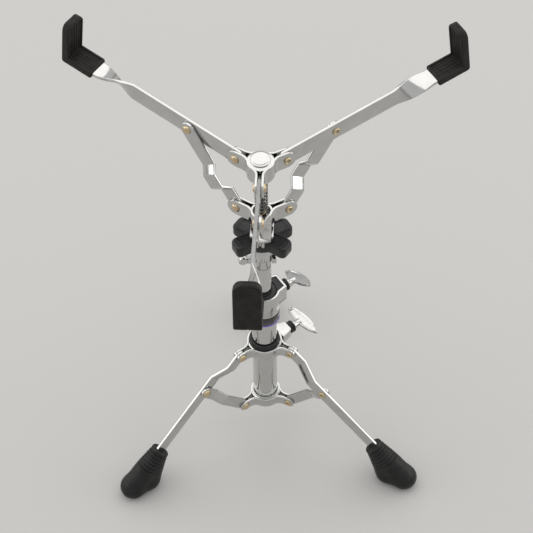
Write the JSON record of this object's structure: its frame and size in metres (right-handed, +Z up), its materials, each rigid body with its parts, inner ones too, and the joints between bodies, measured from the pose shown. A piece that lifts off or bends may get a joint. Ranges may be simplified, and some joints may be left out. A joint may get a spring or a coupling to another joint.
{
  "type": "snare drum stand",
  "caption": "Folding snare drum stand: chrome tripod base with ribbed rubber feet, clamped height tube, tilter, and a basket of folding arms with rubber pads.",
  "frame": {"origin": "on the floor, under the column's axis", "axes": "+Z up the column; one leg points to +Y and the other two to the front left and front right"},
  "size_m": [0.3709, 0.3869, 0.4901],
  "materials": {
    "chrome": "bright chrome plate",
    "zinc": "yellow zinc plate",
    "dark_steel": "oiled",
    "black_plastic": "moulded nylon",
    "purple_band": "plain ring with a violet line",
    "rubber": "matt moulded rubber"
  },
  "bodies": {
    "base": {"base_tube": "chrome", "lower_bracket": "chrome", "lower_rivets": "zinc", "clamp_band": "chrome", "clamp_sleeve": "black_plastic", "label_band": "purple_band", "clamp_washer": "black_plastic"},
    "collar": {"leg_collar": "chrome", "collar_bush": "black_plastic", "collar_rivets": "zinc", "collar_washer": "black_plastic"},
    "leg_rear": {"leg_rear": "chrome", "foot_rear": "rubber", "leg_eyelet_rear": "zinc"},
    "brace_rear": {"brace_rear": "chrome", "brace_rivet_rear": "zinc"},
    "leg_front_left": {"leg_front_left": "chrome", "foot_front_left": "rubber", "leg_eyelet_front_left": "zinc"},
    "brace_front_left": {"brace_front_left": "chrome", "brace_rivet_front_left": "zinc"},
    "leg_front_right": {"leg_front_right": "chrome", "foot_front_right": "rubber", "leg_eyelet_front_right": "zinc"},
    "brace_front_right": {"brace_front_right": "chrome", "brace_rivet_front_right": "zinc"},
    "collar_wing": {"collar_wing_bolt": "chrome"},
    "clamp_wing": {"clamp_wing_bolt": "chrome"},
    "swivel": {"height_bush": "black_plastic"},
    "height_tube": {"height_tube": "chrome", "tilter_base": "chrome"},
    "basket": {"tilter_head": "chrome", "tilter_nut": "chrome", "basket_rod": "dark_steel", "spring": "dark_steel", "hub": "chrome", "hub_cap": "chrome", "hub_rivets": "zinc"},
    "tilter_wing": {"tilter_wing_bolt": "chrome"},
    "spider": {"spider": "chrome", "spider_rivets": "zinc", "nut_yoke": "chrome", "thrust_nut": "zinc"},
    "knob": {"basket_knob": "black_plastic"},
    "arm_left": {"arm_left": "chrome", "pad_left": "rubber", "arm_eyelet_left": "zinc"},
    "strut_left": {"strut_left": "chrome", "strut_rivet_left": "zinc"},
    "arm_front": {"arm_front": "chrome", "pad_front": "rubber", "arm_eyelet_front": "zinc"},
    "strut_front": {"strut_front": "chrome", "strut_rivet_front": "zinc"},
    "arm_right": {"arm_right": "chrome", "pad_right": "rubber", "arm_eyelet_right": "zinc"},
    "strut_right": {"strut_right": "chrome", "strut_rivet_right": "zinc"}
  },
  "joints": [
    {"name": "collar_slide", "type": "slide", "parent": "base", "child": "collar", "axis": [0, 0, 1], "range_m": [-0.004, 0.022]},
    {"name": "leg_rear_hinge", "type": "hinge", "parent": "collar", "child": "leg_rear", "pos_m": [0, 0.03, 0.14671], "axis": [-1, 0, 0], "range_deg": [-4.12, 21.33]},
    {"name": "brace_rear_hinge", "type": "hinge", "parent": "base", "child": "brace_rear", "pos_m": [0, 0.028, 0.05871], "axis": [1, 0, 0], "range_deg": [-3.55, 18.16]},
    {"name": "leg_front_left_hinge", "type": "hinge", "parent": "collar", "child": "leg_front_left", "pos_m": [-0.02598, -0.015, 0.14671], "axis": [0.5, -0.866, 0], "range_deg": [-4.12, 21.33]},
    {"name": "brace_front_left_hinge", "type": "hinge", "parent": "base", "child": "brace_front_left", "pos_m": [-0.02425, -0.014, 0.05871], "axis": [-0.5, 0.866, 0], "range_deg": [-3.55, 18.16]},
    {"name": "leg_front_right_hinge", "type": "hinge", "parent": "collar", "child": "leg_front_right", "pos_m": [0.02598, -0.015, 0.14671], "axis": [0.5, 0.866, 0], "range_deg": [-4.12, 21.33]},
    {"name": "brace_front_right_hinge", "type": "hinge", "parent": "base", "child": "brace_front_right", "pos_m": [0.02425, -0.014, 0.05871], "axis": [-0.5, -0.866, 0], "range_deg": [-3.55, 18.16]},
    {"name": "collar_wing_turn", "type": "hinge", "parent": "collar", "child": "collar_wing", "pos_m": [0.02571, 0.01545, 0.14671], "axis": [0.8572, 0.515, 0], "continuous": true},
    {"name": "clamp_wing_turn", "type": "hinge", "parent": "base", "child": "clamp_wing", "pos_m": [0.01907, 0.00993, 0.22371], "axis": [0.887, 0.4617, 0], "continuous": true},
    {"name": "height_swivel", "type": "hinge", "parent": "base", "child": "swivel", "pos_m": [0, 0, 0.22971], "axis": [0, 0, 1], "continuous": true},
    {"name": "height_slide", "type": "slide", "parent": "swivel", "child": "height_tube", "axis": [0, 0, 1], "range_m": [-0.025, 0.06]},
    {"name": "tilter_hinge", "type": "hinge", "parent": "height_tube", "child": "basket", "pos_m": [0, 0, 0.28031], "axis": [1, 0, 0], "range_deg": [-35, 35]},
    {"name": "tilter_wing_turn", "type": "hinge", "parent": "basket", "child": "tilter_wing", "pos_m": [-0.0083, 0, 0.28031], "axis": [-1, 0, 0], "continuous": true},
    {"name": "spider_slide", "type": "slide", "parent": "basket", "child": "spider", "axis": [0, 0, 1], "range_m": [0, 0.02], "deforming": ["spring"]},
    {"name": "knob_turn", "type": "hinge", "parent": "spider", "child": "knob", "pos_m": [0, 0, 0.29931], "axis": [0, 0, 1], "range_deg": [-30, 3630]},
    {"name": "arm_left_hinge", "type": "hinge", "parent": "basket", "child": "arm_left", "pos_m": [-0.01983, 0.01522, 0.40731], "axis": [0.6088, 0.7934, 0], "range_deg": [-0.5, 37.61]},
    {"name": "strut_left_hinge", "type": "hinge", "parent": "spider", "child": "strut_left", "pos_m": [-0.02102, 0.01613, 0.34131], "axis": [0.6088, 0.7934, 0], "range_deg": [-0.5, 12.35]},
    {"name": "arm_front_hinge", "type": "hinge", "parent": "basket", "child": "arm_front", "pos_m": [-0.00326, -0.02479, 0.40731], "axis": [-0.9914, 0.1305, 0], "range_deg": [-0.5, 37.61]},
    {"name": "strut_front_hinge", "type": "hinge", "parent": "spider", "child": "strut_front", "pos_m": [-0.00346, -0.02627, 0.34131], "axis": [-0.9914, 0.1305, 0], "range_deg": [-0.5, 12.35]},
    {"name": "arm_right_hinge", "type": "hinge", "parent": "basket", "child": "arm_right", "pos_m": [0.0231, 0.00957, 0.40731], "axis": [0.3827, -0.9239, 0], "range_deg": [-0.5, 37.61]},
    {"name": "strut_right_hinge", "type": "hinge", "parent": "spider", "child": "strut_right", "pos_m": [0.02448, 0.01014, 0.34131], "axis": [0.3827, -0.9239, 0], "range_deg": [-0.5, 12.35]}
  ],
  "couplings": [
    {"joint": "leg_rear_hinge", "follows": "collar_slide", "rad_per_m": 16.687},
    {"joint": "brace_rear_hinge", "follows": "collar_slide", "rad_per_m": 14.17},
    {"joint": "leg_front_left_hinge", "follows": "collar_slide", "rad_per_m": 16.687},
    {"joint": "brace_front_left_hinge", "follows": "collar_slide", "rad_per_m": 14.17},
    {"joint": "leg_front_right_hinge", "follows": "collar_slide", "rad_per_m": 16.687},
    {"joint": "brace_front_right_hinge", "follows": "collar_slide", "rad_per_m": 14.17},
    {"joint": "knob_turn", "follows": "spider_slide", "rad_per_m": 3141.6},
    {"joint": "arm_left_hinge", "follows": "spider_slide", "rad_per_m": 32.386},
    {"joint": "strut_left_hinge", "follows": "spider_slide", "rad_per_m": 10.341},
    {"joint": "arm_front_hinge", "follows": "spider_slide", "rad_per_m": 32.386},
    {"joint": "strut_front_hinge", "follows": "spider_slide", "rad_per_m": 10.341},
    {"joint": "arm_right_hinge", "follows": "spider_slide", "rad_per_m": 32.386},
    {"joint": "strut_right_hinge", "follows": "spider_slide", "rad_per_m": 10.341}
  ]
}
